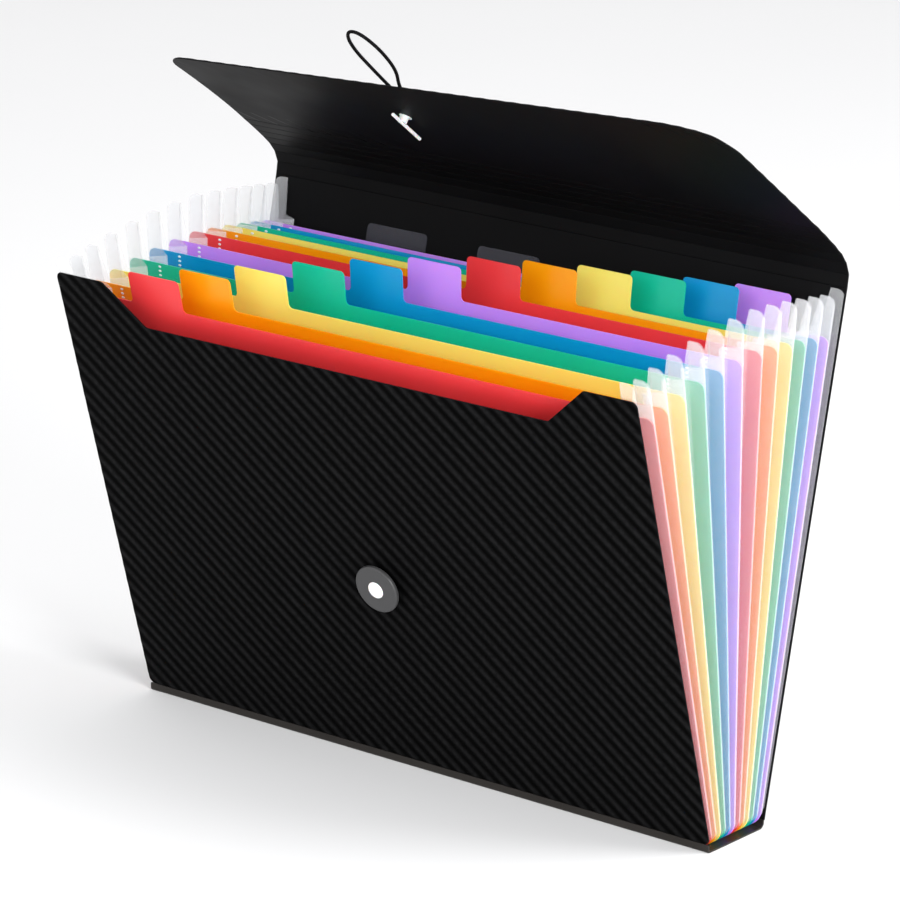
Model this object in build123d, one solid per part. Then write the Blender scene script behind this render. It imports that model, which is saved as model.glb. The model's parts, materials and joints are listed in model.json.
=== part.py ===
from build123d import *
import math
import os

# Accordion file folder, standing open as a fan.
# Millimetres. Origin at the centre of the base's underside, +Z up, +X to the right, the front faces -Y.

# Sheets
WIDTH = 330.0            # covers, side to side
SHEET = 0.8              # cover sheet
LEAF = 0.4               # divider sheet
FILM = 0.3               # gusset film
CREASE_GAP = 0.06        # between the rounded edge of one panel and the groove of the next

# Base
BASE_DEPTH = 42.0        # front face to back face
BASE_INSET = 0.5         # base shorter than the covers at each end
CREASE_HEIGHT = 4.0      # cover creases above the floor
FRONT_BEND = 1.2         # outer radius of the fold at the front of the base
REAR_BEND = 2.8          # outer radius of the fold at the back of the base

# Fan
FRONT_LEAN = 16.275      # front cover's forward lean, degrees
POCKET_ANGLES = (1.9, 1.9, 2.5, 2.9, 2.8, 2.8, 2.95, 2.3, 2.1, 1.8, 1.6, 1.4, 1.25)   # front to back, degrees
POCKETS = len(POCKET_ANGLES)

# Front cover
FRONT_HEIGHT = 223.0     # crease to top edge
SHOULDER = 28.0          # full-height width beside the notch
NOTCH_DEPTH = 19.5
NOTCH_RUN = 22.4         # width of each sloping side of the notch
COVER_CORNER = 3.0       # corner radius

# Back cover and the scored band above it
BACK_HEIGHT = 239.0      # crease to first score line
STRIP = 6.0              # score line to score line
BENDS = (4.0, 30.0, 18.0, 9.0, 2.0, 1.0, 1.0, 0.0)   # rest bend at each score line, degrees
STRIPS = len(BENDS) - 1

# Flap
FLAP_LENGTH = 76.0
FLAP_TAPER = 7.0         # each side comes in by this much at the free edge
FLAP_CORNER = 15.0

# Dividers
DIVIDER_INSET = 0.5      # sheet edge inside the covers' edge
DIVIDER_DROP = 19.0      # sheet's top edge below the back cover's first score line
DIVIDER_HEIGHT = BACK_HEIGHT - DIVIDER_DROP
SLUMP = 7.0              # front sheet's top edge lower than the full height, easing off towards the middle
FULL_SHEET = 7           # first sheet of the full height, counted from the front
DIVIDER_CORNER = 4.0
HEEL = 8.0               # rounding of the sheets' and the film's outer corners above the base
FOOT_CLEARANCE = 0.3     # sheet foot above the base's floor
TAB_WIDTH = 30.5
TAB_HEIGHT = 15.5
TAB_CORNER = 2.2
LEFT_TAB_MARGIN = 35.4   # front sheet's left edge to its tab
RIGHT_TAB_MARGIN = 22.6   # rear sheet's right edge to its tab
DIVIDER_NAMES = (
    "divider_1_red", "divider_2_orange", "divider_3_yellow", "divider_4_green",
    "divider_5_blue", "divider_6_purple", "divider_7_red", "divider_8_orange",
    "divider_9_yellow", "divider_10_green", "divider_11_blue", "divider_12_purple",
)

# Smoke sheet in front of the back cover
REAR_SHEET_DROP = 27.0   # its top edge below the back cover's first score line
REAR_SHEET_HEIGHT = BACK_HEIGHT - REAR_SHEET_DROP
REAR_SHEET_INSET = 22.0  # its edge inside the covers' edge, clear of the pleats
REAR_SHEET_GAP = 0.05    # to the back cover
REAR_TAB_WIDTH = 36.0
REAR_TAB_HEIGHT = 12.5
REAR_TABS = (-104.5, -38.0)   # left edges

# Gussets
EAR = 18.0               # film above a divider's top edge
GUSSET_FOOT = 2.2        # above the floor
FLANGE = 8.0             # film lying flat on each side of a sheet's edge
PLEAT_DEPTH = 18.0       # outer edge to inner fold
FLANGE_GAP = 0.12        # film to sheet
EAR_CORNER = 7.5         # rounding of the film's upper corner at each sheet

# Button
BUTTON_HEIGHT = 94.4     # above the front cover's crease
BUTTON_RADIUS = 11.7
BUTTON_THICKNESS = 2.4
BUTTON_EDGE = 0.9
NECK_RADIUS = 5.0
NECK_LENGTH = 2.2
RIVET_HEAD_RADIUS = 4.1
RIVET_HEAD_DEPTH = 0.8
RIVET_DOME = 0.5
RIVET_RADIUS = 2.0
RIVET_TAIL_RADIUS = 3.6
RIVET_TAIL = 0.6
RIVET_CLEARANCE = 0.05
WASHER_RADIUS = 7.0
WASHER_THICKNESS = 0.6

# Eyelet, toggle and elastic loop, placed on the flap: x, then distance from the last score line
EYELET_X = -37.8
EYELET_S = 43.0
EYELET_RADIUS = 3.6
EYELET_BORE = 2.3
EYELET_FLANGE = 0.6
EYELET_CLEARANCE = 0.05
EYELET_WALL = 0.5
TOGGLE_LENGTH = 25.0
TOGGLE_RADIUS = 0.8
TOGGLE_DROP = 4.2        # bar's centre below the middle of the flap sheet
TOGGLE_SHIFT = -4.0      # bar's centre along the flap from the eyelet
TOGGLE_END = 0.5         # rounding of the bar's ends
CRIMP_RADIUS = 2.2
CRIMP_BORE = 1.8         # takes the two cord ends side by side
CORD_RADIUS = 0.8


def sheet_angle(place):
    """Forward lean in degrees of the sheet at this place in the fan, 0 for the front cover."""
    return FRONT_LEAN - sum(POCKET_ANGLES[:place])


CREASE_Y = BASE_DEPTH / 2 - SHEET / 2
FOOT_Z = SHEET + FOOT_CLEARANCE + LEAF / 2


def foot_y(place):
    """Where the sheet at this place in the fan turns."""
    return -CREASE_Y + 2 * CREASE_Y * place / POCKETS


def sheet_top(place):
    """Height of the divider at this place in the fan; beside the covers, that of the divider next to them."""
    place = min(max(place, 1), POCKETS - 1)
    return DIVIDER_HEIGHT - SLUMP * max(0, FULL_SHEET - place) / (FULL_SHEET - 1)


def panel_profile(length, thickness, grooved):
    """Cross-section of a sheet in Y and Z: rounded foot at the origin, plain or grooved top edge."""
    half = thickness / 2
    groove = half + CREASE_GAP
    top = length - math.sqrt(groove ** 2 - half ** 2) if grooved else length
    with BuildSketch(Plane.YZ) as section:
        with BuildLine():
            ThreePointArc((-half, 0), (0, -half), (half, 0))
            Line((half, 0), (half, top))
            if grooved:
                ThreePointArc((half, top), (0, length - groove), (-half, top))
            else:
                Line((half, top), (-half, top))
            Line((-half, top), (-half, 0))
        make_face()
    return section.sketch


def panel(width, length, thickness, grooved=False):
    """Flat sheet standing on its rounded foot, which lies on the X axis."""
    return extrude(panel_profile(length, thickness, grooved), width / 2, both=True)


def outline(points, thickness, radii):
    """Prism of a sheet's outline in X and Z, with a corner radius or 0 for each point."""
    with BuildSketch(Plane.XZ) as flat:
        with BuildLine():
            Polyline(*points, close=True)
        make_face()
        for point, radius in zip(points, radii):
            if radius > 0:
                near = min(flat.vertices(), key=lambda v: (v.X - point[0]) ** 2 + (v.Y - point[1]) ** 2)
                fillet(near, radius)
    return extrude(flat.sketch, thickness, both=True)


def stand(shape, y, z, lean):
    """Lean a sheet forward about its foot and set the foot in place."""
    return Pos(0, y, z) * Rot(X=lean) * shape


def make_base():
    """Floor, front fold and rear fold of the base; each fold ends in a groove for a cover's rounded edge."""
    half = BASE_DEPTH / 2
    inner = half - SHEET
    groove = SHEET / 2 + CREASE_GAP
    lip = CREASE_HEIGHT - math.sqrt(groove ** 2 - (SHEET / 2) ** 2)
    low = CREASE_HEIGHT - groove
    front_in = FRONT_BEND - SHEET
    rear_in = REAR_BEND - SHEET
    diagonal = 1 - math.sqrt(0.5)
    with BuildSketch(Plane.YZ) as section:
        with BuildLine():
            Line((-half, lip), (-half, FRONT_BEND))
            ThreePointArc(
                (-half, FRONT_BEND),
                (-half + FRONT_BEND * diagonal, FRONT_BEND * diagonal),
                (-half + FRONT_BEND, 0),
            )
            Line((-half + FRONT_BEND, 0), (half - REAR_BEND, 0))
            ThreePointArc(
                (half - REAR_BEND, 0),
                (half - REAR_BEND * diagonal, REAR_BEND * diagonal),
                (half, REAR_BEND),
            )
            Line((half, REAR_BEND), (half, lip))
            ThreePointArc((half, lip), (CREASE_Y, low), (inner, lip))
            Line((inner, lip), (inner, SHEET + rear_in))
            ThreePointArc(
                (inner, SHEET + rear_in),
                (inner - rear_in * diagonal, SHEET + rear_in * diagonal),
                (inner - rear_in, SHEET),
            )
            Line((inner - rear_in, SHEET), (-inner + front_in, SHEET))
            ThreePointArc(
                (-inner + front_in, SHEET),
                (-inner + front_in * diagonal, SHEET + front_in * diagonal),
                (-inner, SHEET + front_in),
            )
            Line((-inner, SHEET + front_in), (-inner, lip))
            ThreePointArc((-inner, lip), (-CREASE_Y, low), (-half, lip))
        make_face()
    strip = extrude(section.sketch, WIDTH / 2 - BASE_INSET, both=True)
    bounds = (-BASE_DEPTH, -half + FRONT_BEND, half - REAR_BEND, BASE_DEPTH)
    front, floor, rear = (
        strip & Pos(0, (start + end) / 2, 0) * Box(2 * WIDTH, end - start, 4 * CREASE_HEIGHT)
        for start, end in zip(bounds, bounds[1:])
    )
    return {"base_floor": floor, "front_fold": front, "rear_fold": rear}


def make_front_cover():
    """Notched cover with the rivet's hole, standing upright on its crease."""
    side = WIDTH / 2
    notch = side - SHOULDER
    floor = FRONT_HEIGHT - NOTCH_DEPTH
    foot = -SHEET
    points = [
        (-side, foot), (side, foot), (side, FRONT_HEIGHT), (notch, FRONT_HEIGHT),
        (notch - NOTCH_RUN, floor), (NOTCH_RUN - notch, floor), (-notch, FRONT_HEIGHT), (-side, FRONT_HEIGHT),
    ]
    radii = [COVER_CORNER] * len(points)
    cover = panel(WIDTH, FRONT_HEIGHT, SHEET) & outline(points, SHEET, radii)
    hole = Pos(0, 0, BUTTON_HEIGHT) * Rot(X=90) * Cylinder(RIVET_RADIUS + RIVET_CLEARANCE, 4 * SHEET)
    return cover - hole


def make_button():
    """Disc on a neck, with a seat for the rivet's head; its axis is Z and its foot is at the origin."""
    disc_low = NECK_LENGTH
    disc_high = NECK_LENGTH + BUTTON_THICKNESS
    bore = RIVET_RADIUS + RIVET_CLEARANCE
    seat = RIVET_HEAD_RADIUS + RIVET_CLEARANCE
    neck = Cylinder(NECK_RADIUS, NECK_LENGTH, align=(Align.CENTER, Align.CENTER, Align.MIN))
    disc = Cylinder(BUTTON_RADIUS, BUTTON_THICKNESS, align=(Align.CENTER, Align.CENTER, Align.MIN))
    disc = fillet(disc.edges(), BUTTON_EDGE)
    button = neck + Pos(0, 0, disc_low) * disc
    button -= Cylinder(bore, disc_high, align=(Align.CENTER, Align.CENTER, Align.MIN))
    button -= Pos(0, 0, disc_high - RIVET_HEAD_DEPTH) * Cylinder(
        seat, RIVET_HEAD_DEPTH, align=(Align.CENTER, Align.CENTER, Align.MIN)
    )
    return button


def make_rivet():
    """Domed head in the button, shank through the cover, spread tail behind the washer."""
    head_low = NECK_LENGTH + BUTTON_THICKNESS - RIVET_HEAD_DEPTH
    tail_high = -SHEET - WASHER_THICKNESS
    shank_length = head_low - tail_high
    head_high = RIVET_HEAD_DEPTH + RIVET_DOME
    head = Cylinder(RIVET_HEAD_RADIUS, head_high, align=(Align.CENTER, Align.CENTER, Align.MIN))
    head = fillet(head.edges().group_by(Axis.Z)[-1], RIVET_DOME)
    shank = Cylinder(RIVET_RADIUS, shank_length, align=(Align.CENTER, Align.CENTER, Align.MIN))
    tail = Cylinder(RIVET_TAIL_RADIUS, RIVET_TAIL, align=(Align.CENTER, Align.CENTER, Align.MAX))
    return Pos(0, 0, head_low) * head + Pos(0, 0, tail_high) * shank + Pos(0, 0, tail_high) * tail


def make_washer():
    """Flat ring against the inside of the front cover."""
    ring = Cylinder(WASHER_RADIUS, WASHER_THICKNESS, align=(Align.CENTER, Align.CENTER, Align.MAX))
    bore = RIVET_RADIUS + RIVET_CLEARANCE
    ring -= Cylinder(bore, WASHER_THICKNESS, align=(Align.CENTER, Align.CENTER, Align.MAX))
    return Pos(0, 0, -SHEET) * ring


def on_front_cover(shape):
    """Set a piece that points along Z on the front cover's outer face at the button's place."""
    placed = Pos(0, -SHEET / 2, BUTTON_HEIGHT) * Rot(X=90) * shape
    return stand(placed, -CREASE_Y, CREASE_HEIGHT, sheet_angle(0))


def make_divider(place):
    """Coloured sheet with its index tab, standing upright on its foot."""
    side = WIDTH / 2 - DIVIDER_INSET
    pitch = (2 * side - LEFT_TAB_MARGIN - RIGHT_TAB_MARGIN - TAB_WIDTH) / (POCKETS - 2)
    left = LEFT_TAB_MARGIN - side + pitch * (place - 1)
    right = left + TAB_WIDTH
    shoulder = sheet_top(place)
    top = shoulder + TAB_HEIGHT
    foot = -LEAF
    points = [
        (-side, foot), (side, foot), (side, shoulder), (right, shoulder),
        (right, top), (left, top), (left, shoulder), (-side, shoulder),
    ]
    radii = [HEEL, HEEL, DIVIDER_CORNER, TAB_CORNER, TAB_CORNER, TAB_CORNER, TAB_CORNER, DIVIDER_CORNER]
    return panel(2 * side, top, LEAF) & outline(points, LEAF, radii)


def make_rear_sheet():
    """Smoke sheet lying on the inside of the back cover, with low tabs."""
    side = WIDTH / 2 - REAR_SHEET_INSET
    top = REAR_SHEET_HEIGHT + REAR_TAB_HEIGHT
    points = [(-side, -LEAF), (side, -LEAF), (side, REAR_SHEET_HEIGHT)]
    radii = [0, 0, DIVIDER_CORNER]
    for left in reversed(REAR_TABS):
        right = left + REAR_TAB_WIDTH
        points += [(right, REAR_SHEET_HEIGHT), (right, top), (left, top), (left, REAR_SHEET_HEIGHT)]
        radii += [TAB_CORNER, TAB_CORNER, TAB_CORNER, TAB_CORNER]
    points.append((-side, REAR_SHEET_HEIGHT))
    radii.append(DIVIDER_CORNER)
    sheet = panel(2 * side, top, LEAF) & outline(points, LEAF, radii)
    return Pos(0, -SHEET / 2 - REAR_SHEET_GAP - LEAF / 2, LEAF / 2) * sheet


def film_path(height):
    """Middle line of the right gusset's film in X and Y where it crosses this height."""
    outer = WIDTH / 2 - FILM / 2
    weld = WIDTH / 2 - FLANGE
    fold = WIDTH / 2 - PLEAT_DEPTH
    path = []
    for place in range(POCKETS + 1):
        is_cover = place in (0, POCKETS)
        turn = CREASE_HEIGHT if is_cover else FOOT_Z
        y = foot_y(place) - (height - turn) * math.tan(math.radians(sheet_angle(place)))
        off = (SHEET if is_cover else LEAF) / 2 + FLANGE_GAP + FILM / 2
        if place > 0:
            path += [(weld, y - off), (outer, y - off)]
        if place < POCKETS:
            path += [(outer, y + off), (weld, y + off)]
            next_turn = CREASE_HEIGHT if place + 1 == POCKETS else FOOT_Z
            y_next = foot_y(place + 1) - (height - next_turn) * math.tan(math.radians(sheet_angle(place + 1)))
            path.append((fold, (y + y_next) / 2))
    return path


def film_face(height):
    """Cross-section of the right gusset's film at this height."""
    path = film_path(height)
    sides = ([], [])
    for index, point in enumerate(path):
        before = path[max(index - 1, 0)]
        after = path[min(index + 1, len(path) - 1)]
        normals = []
        for start, end in ((before, point), (point, after)):
            length = math.dist(start, end)
            if length > 0:
                normals.append(((start[1] - end[1]) / length, (end[0] - start[0]) / length))
        nx = sum(n[0] for n in normals) / len(normals)
        ny = sum(n[1] for n in normals) / len(normals)
        reach = FILM / 2 / (nx * nx + ny * ny)
        sides[0].append((point[0] + nx * reach, point[1] + ny * reach, height))
        sides[1].append((point[0] - nx * reach, point[1] - ny * reach, height))
    corners = sides[0] + sides[1][::-1]
    return Face(Wire.make_polygon([Vector(*c) for c in corners], close=True))


def make_gusset():
    """Right gusset: film folded round every sheet's edge and in between them, trimmed to a rounded fan."""
    tall = loft([film_face(GUSSET_FOOT), film_face(BACK_HEIGHT + 2 * EAR)], ruled=True)
    rim = []
    for place in (0, FULL_SHEET, POCKETS):
        lean = math.radians(sheet_angle(place))
        reach = sheet_top(place) + EAR
        rim.append((foot_y(place) - reach * math.sin(lean), CREASE_HEIGHT + reach * math.cos(lean)))
    front, middle, rear = rim
    low = GUSSET_FOOT - FILM / 2
    with BuildSketch(Plane.YZ) as fan:
        with BuildLine():
            ThreePointArc(front, middle, rear)
            Polyline(rear, (rear[0], low), (front[0], low), front)
        make_face()
    block = extrude(fan.sketch, WIDTH / 2 + FILM / 2)
    block = fillet(block.faces().sort_by(Axis.X)[-1].edges().sort_by(Axis.Z)[0], HEEL)
    block = fillet(block.faces().sort_by(Axis.X)[-1].edges().sort_by(Axis.Z)[-1], EAR_CORNER)
    return tall & block


def score_line(index):
    """Y and Z of a score line and the forward lean of the panel above it, at rest."""
    lean = sheet_angle(POCKETS)
    angle = math.radians(lean)
    y = CREASE_Y - BACK_HEIGHT * math.sin(angle)
    z = CREASE_HEIGHT + BACK_HEIGHT * math.cos(angle)
    for step in range(index + 1):
        lean += BENDS[step]
        if step < index:
            angle = math.radians(lean)
            y -= STRIP * math.sin(angle)
            z += STRIP * math.cos(angle)
    return y, z, lean


def on_flap(shape):
    """Set a piece made on an upright flap in the flap's place."""
    y, z, lean = score_line(STRIPS)
    return stand(shape, y, z, lean)


def make_flap():
    """Tapered closing flap with the eyelet's hole, standing upright on its score line."""
    side = WIDTH / 2
    tip = side - FLAP_TAPER
    points = [(-side, -SHEET), (side, -SHEET), (side, 0), (tip, FLAP_LENGTH), (-tip, FLAP_LENGTH), (-side, 0)]
    radii = [0, 0, 0, FLAP_CORNER, FLAP_CORNER, 0]
    flap = panel(WIDTH, FLAP_LENGTH, SHEET) & outline(points, SHEET, radii)
    hole = EYELET_BORE + EYELET_WALL + EYELET_CLEARANCE
    return flap - Pos(EYELET_X, 0, EYELET_S) * Rot(X=90) * Cylinder(hole, 4 * SHEET)


def make_eyelet():
    """Barrel through the flap with a flange on each face, on the upright flap."""
    barrel = Cylinder(EYELET_BORE + EYELET_WALL, SHEET + 2 * EYELET_FLANGE)
    flange = Cylinder(EYELET_RADIUS, EYELET_FLANGE)
    flange = fillet(flange.edges().group_by(Axis.Z)[-1], EYELET_FLANGE / 2)
    lift = SHEET / 2 + EYELET_FLANGE / 2
    ring = barrel + Pos(0, 0, lift) * flange + Pos(0, 0, -lift) * Rot(X=180) * flange
    ring -= Cylinder(EYELET_BORE, SHEET + 4 * EYELET_FLANGE)
    return Pos(EYELET_X, 0, EYELET_S) * Rot(X=90) * ring


def make_toggle():
    """Bar across the inside of the eyelet, with the crimp that holds both ends of the elastic."""
    drop = -TOGGLE_DROP
    middle = EYELET_S + TOGGLE_SHIFT
    face = -SHEET / 2 - EYELET_FLANGE
    depth = face - drop - TOGGLE_RADIUS
    bar = Pos(EYELET_X, drop, middle) * fillet(Cylinder(TOGGLE_RADIUS, TOGGLE_LENGTH).edges(), TOGGLE_END)
    crimp = Pos(EYELET_X, (drop + face) / 2, EYELET_S) * Rot(X=90) * Cylinder(CRIMP_RADIUS, face - drop)
    bore = Pos(EYELET_X, face - depth / 2, EYELET_S) * Rot(X=90) * Cylinder(CRIMP_BORE, depth)
    return bar + (crimp - bore)


# The loop's route on the upright flap: x, distance from the last score line, height off the outer face
LOOP_ROUTE = (
    (-38.7, 43.0, -3.2), (-38.7, 43.6, 3.4), (-37.4, 49.8, 2.9), (-33.4, 60.0, 2.2),
    (-31.8, 74.0, 1.8), (-31.8, 88.0, 2.4), (-32.2, 98.0, 3.2), (-31.0, 108.0, 4.4),
    (-26.5, 115.0, 5.2), (-20.5, 114.8, 5.2), (-16.2, 105.5, 4.2), (-15.4, 94.0, 3.0),
    (-18.2, 83.0, 2.4), (-23.6, 73.0, 1.8), (-29.4, 60.0, 2.2), (-35.6, 50.2, 2.9),
    (-36.9, 43.6, 3.4), (-36.9, 43.0, -3.2),
)
BEND_SHARE = 0.45        # of the shorter run beside a bend


def make_loop():
    """Elastic cord from the crimp out through the eyelet, round the loop and back."""
    points = [Vector(x, SHEET / 2 + lift, s) for x, s, lift in LOOP_ROUTE]
    radii = []
    for before, point, after in zip(points, points[1:], points[2:]):
        turn = math.radians((point - before).get_angle(after - point))
        run = min((point - before).length, (after - point).length)
        radii.append(BEND_SHARE * run / math.tan(turn / 2))
    route = FilletPolyline(*points, radius=radii)
    start = Plane(origin=route @ 0, z_dir=route % 0)
    cord = sweep(start * Circle(CORD_RADIUS), path=route)
    print(f"loop length {route.length:.1f}, volume over section times length "
          f"{cord.volume / (math.pi * CORD_RADIUS ** 2 * route.length):.4f}, tightest bend {min(radii):.1f}")
    return cord


def make_parts():
    """Every piece of the folder, by name, in its place."""
    parts = make_base()
    parts["front_cover"] = stand(make_front_cover(), -CREASE_Y, CREASE_HEIGHT, sheet_angle(0))
    parts["closure_button"] = on_front_cover(make_button())
    parts["button_rivet"] = on_front_cover(make_rivet())
    parts["rivet_washer"] = on_front_cover(make_washer())
    for place, name in enumerate(DIVIDER_NAMES, start=1):
        parts[name] = stand(make_divider(place), foot_y(place), FOOT_Z, sheet_angle(place))
    back = panel(WIDTH, BACK_HEIGHT, SHEET, grooved=True)
    parts["back_cover"] = stand(back, CREASE_Y, CREASE_HEIGHT, sheet_angle(POCKETS))
    parts["rear_sheet"] = stand(make_rear_sheet(), CREASE_Y, CREASE_HEIGHT, sheet_angle(POCKETS))
    gusset = make_gusset()
    parts["right_gusset"] = gusset
    parts["left_gusset"] = mirror(gusset, about=Plane.YZ)
    for index in range(STRIPS):
        y, z, lean = score_line(index)
        parts[f"score_strip_{index + 1}"] = stand(panel(WIDTH, STRIP, SHEET, grooved=True), y, z, lean)
    parts["flap"] = on_flap(make_flap())
    parts["flap_eyelet"] = on_flap(make_eyelet())
    parts["loop_toggle"] = on_flap(make_toggle())
    parts["elastic_loop"] = on_flap(make_loop())
    return parts


os.makedirs("parts", exist_ok=True)
for node, shape in make_parts().items():
    export_step(shape, f"parts/{node}.step")
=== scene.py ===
import json
import logging
import math
from collections.abc import Callable, Sequence
from dataclasses import dataclass
from enum import Enum

import bmesh
import bpy
from mathutils import Matrix, Vector


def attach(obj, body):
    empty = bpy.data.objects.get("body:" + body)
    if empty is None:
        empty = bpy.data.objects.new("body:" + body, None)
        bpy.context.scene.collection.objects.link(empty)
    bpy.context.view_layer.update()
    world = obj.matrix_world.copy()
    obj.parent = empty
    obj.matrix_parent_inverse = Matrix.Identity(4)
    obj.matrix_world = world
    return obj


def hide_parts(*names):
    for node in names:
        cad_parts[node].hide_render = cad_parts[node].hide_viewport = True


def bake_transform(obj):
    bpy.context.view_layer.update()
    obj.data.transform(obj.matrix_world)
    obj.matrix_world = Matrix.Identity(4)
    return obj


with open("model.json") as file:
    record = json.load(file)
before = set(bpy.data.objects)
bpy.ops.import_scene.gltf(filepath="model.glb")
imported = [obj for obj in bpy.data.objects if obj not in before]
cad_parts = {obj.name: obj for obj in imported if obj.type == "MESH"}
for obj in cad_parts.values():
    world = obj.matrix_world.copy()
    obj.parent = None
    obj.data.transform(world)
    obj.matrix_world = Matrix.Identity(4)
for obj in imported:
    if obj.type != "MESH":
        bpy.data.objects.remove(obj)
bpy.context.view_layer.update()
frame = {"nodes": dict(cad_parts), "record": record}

# Accordion file folder, standing open as a fan, dressed in its plastics.
# Sizes are in millimetres and become metres where a mesh is written.

log = logging.getLogger("folder")
MM = 0.001
NOISE_LOW, NOISE_HIGH = 0.3, 0.7
CUT_TOLERANCE = 1e-5
DRILL_SIDES = 32
DRILL_DEPTH = 10.0

Point = tuple[float, float]


class Side(Enum):
    """The two ends of the folder, as the sign of their X."""

    LEFT = -1
    RIGHT = 1


class Face(Enum):
    """Which face of a sheet carries the embossing, as the sign of its local Y."""

    FRONT = -1
    REAR = 1


@dataclass(frozen=True)
class Sizes:
    """Driving sizes of the folder, as the solids have them."""

    width: float = 330.0
    sheet: float = 0.8
    leaf: float = 0.4
    film: float = 0.3
    base_depth: float = 42.0
    crease_height: float = 4.0
    front_lean: float = 16.275
    pocket_angles: tuple[float, ...] = (1.9, 1.9, 2.5, 2.9, 2.8, 2.8, 2.95, 2.3, 2.1, 1.8, 1.6, 1.4, 1.25)
    front_height: float = 223.0
    shoulder: float = 28.0
    notch_depth: float = 19.5
    notch_run: float = 22.4
    cover_corner: float = 3.0
    back_height: float = 239.0
    strip: float = 6.0
    bends: tuple[float, ...] = (4.0, 30.0, 18.0, 9.0, 2.0, 1.0, 1.0, 0.0)
    flap_length: float = 76.0
    flap_taper: float = 7.0
    flap_corner: float = 15.0
    divider_height: float = 220.0
    slump: float = 7.0
    full_sheet: int = 7
    ear: float = 18.0
    foot_clearance: float = 0.3
    flange: float = 8.0
    pleat_depth: float = 18.0
    flange_gap: float = 0.12
    button_height: float = 94.4
    rivet_hole: float = 2.05
    eyelet_x: float = -37.8
    eyelet_s: float = 43.0
    eyelet_hole: float = 2.85
    cord_radius: float = 0.8

    @property
    def pockets(self) -> int:
        """Number of pockets, which is also the back cover's place in the fan."""
        return len(self.pocket_angles)


SIZES = Sizes()


@dataclass(frozen=True)
class Stand:
    """Where a flat sheet stands: its foot line along X and its forward lean in degrees."""

    foot_y: float
    foot_z: float
    lean: float

    def at(self, x: float, s: float, off: float = 0.0) -> Vector:
        """Point of the sheet in the frame.

        Args:
            x: place across the sheet.
            s: distance up the sheet from its foot.
            off: distance behind the sheet's middle plane.

        Returns:
            The point in metres.
        """
        lean = math.radians(self.lean)
        y = self.foot_y + off * math.cos(lean) - s * math.sin(lean)
        z = self.foot_z + off * math.sin(lean) + s * math.cos(lean)
        return Vector((x, y, z)) * MM


@dataclass(frozen=True)
class Fan:
    """The fan of sheets, counted from the front cover at 0 to the back cover."""

    sizes: Sizes

    def lean(self, place: int) -> float:
        """Forward lean in degrees of the sheet at this place."""
        return self.sizes.front_lean - sum(self.sizes.pocket_angles[:place])

    def sheet_top(self, place: int) -> float:
        """Height of the divider at this place; beside the covers, that of the divider next to them."""
        s = self.sizes
        place = min(max(place, 1), s.pockets - 1)
        return s.divider_height - s.slump * max(0, s.full_sheet - place) / (s.full_sheet - 1)

    def stand(self, place: int) -> Stand:
        """Where the sheet at this place stands."""
        s = self.sizes
        crease = s.base_depth / 2 - s.sheet / 2
        foot = -crease + 2 * crease * place / s.pockets
        divider_turn = s.sheet + s.foot_clearance + s.leaf / 2
        turn = s.crease_height if place in (0, s.pockets) else divider_turn
        return Stand(foot, turn, self.lean(place))

    def body(self, place: int) -> str:
        """Name of the body that carries the sheet at this place."""
        if place == 0:
            return "front"
        return "back" if place == self.sizes.pockets else f"divider_{place}"

    def half_thickness(self, place: int) -> float:
        """Half the thickness of the sheet at this place."""
        is_cover = place in (0, self.sizes.pockets)
        return (self.sizes.sheet if is_cover else self.sizes.leaf) / 2

    def strip_stand(self, index: int) -> Stand:
        """Where the strip above a score line stands; the last one is the flap."""
        s = self.sizes
        back = self.stand(s.pockets)
        lean = back.lean
        y = back.foot_y - s.back_height * math.sin(math.radians(lean))
        z = back.foot_z + s.back_height * math.cos(math.radians(lean))
        for step in range(index + 1):
            lean += s.bends[step]
            if step < index:
                y -= s.strip * math.sin(math.radians(lean))
                z += s.strip * math.cos(math.radians(lean))
        return Stand(y, z, lean)


FAN = Fan(SIZES)


# Materials


def linear(hex_colour: str) -> tuple[float, float, float, float]:
    """Linear colour of an sRGB hex value.

    Args:
        hex_colour: six hex digits after a hash sign.

    Returns:
        Red, green, blue and full opacity.
    """
    channels = [int(hex_colour[k:k + 2], 16) / 255 for k in (1, 3, 5)]
    red, green, blue = (c / 12.92 if c <= 0.04045 else ((c + 0.055) / 1.055) ** 2.4 for c in channels)
    return red, green, blue, 1.0


def add_node(
    tree: bpy.types.NodeTree, kind: str, inputs: dict[str | int, object] | None = None, **settings: object
) -> bpy.types.Node:
    """Add a node with its settings, values and links.

    Args:
        tree: the material's or world's nodes.
        kind: Blender's name of the node type.
        inputs: by socket, a value to set or an output socket to link.
        settings: the node's own properties.

    Returns:
        The new node.
    """
    node = tree.nodes.new(kind)
    for name, value in settings.items():
        setattr(node, name, value)
    for name, value in (inputs or {}).items():
        if isinstance(value, bpy.types.NodeSocket):
            tree.links.new(value, node.inputs[name])
        else:
            node.inputs[name].default_value = value
    return node


def new_tree(name: str) -> tuple[bpy.types.Material, bpy.types.NodeTree, bpy.types.Node]:
    """Empty node material.

    Args:
        name: the material's name.

    Returns:
        The material, its nodes and the output node.
    """
    material = bpy.data.materials.new(name)
    material.use_nodes = True
    tree = material.node_tree
    tree.nodes.clear()
    return material, tree, add_node(tree, "ShaderNodeOutputMaterial")


def per_mm(size: float) -> float:
    """Texture scale whose features are about this many millimetres across, on coordinates in metres."""
    return 1.0 / (size * MM)


def noise_range(noise: bpy.types.Node, ends: tuple[float, float]) -> dict[int, object]:
    """Sockets of a range node that stretches a noise's usual values over two ends.

    Args:
        noise: the noise node.
        ends: the values at its low and its high end.

    Returns:
        Values and the link, by socket.
    """
    return {0: noise.outputs[0], 1: NOISE_LOW, 2: NOISE_HIGH, 3: ends[0], 4: ends[1]}


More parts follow.
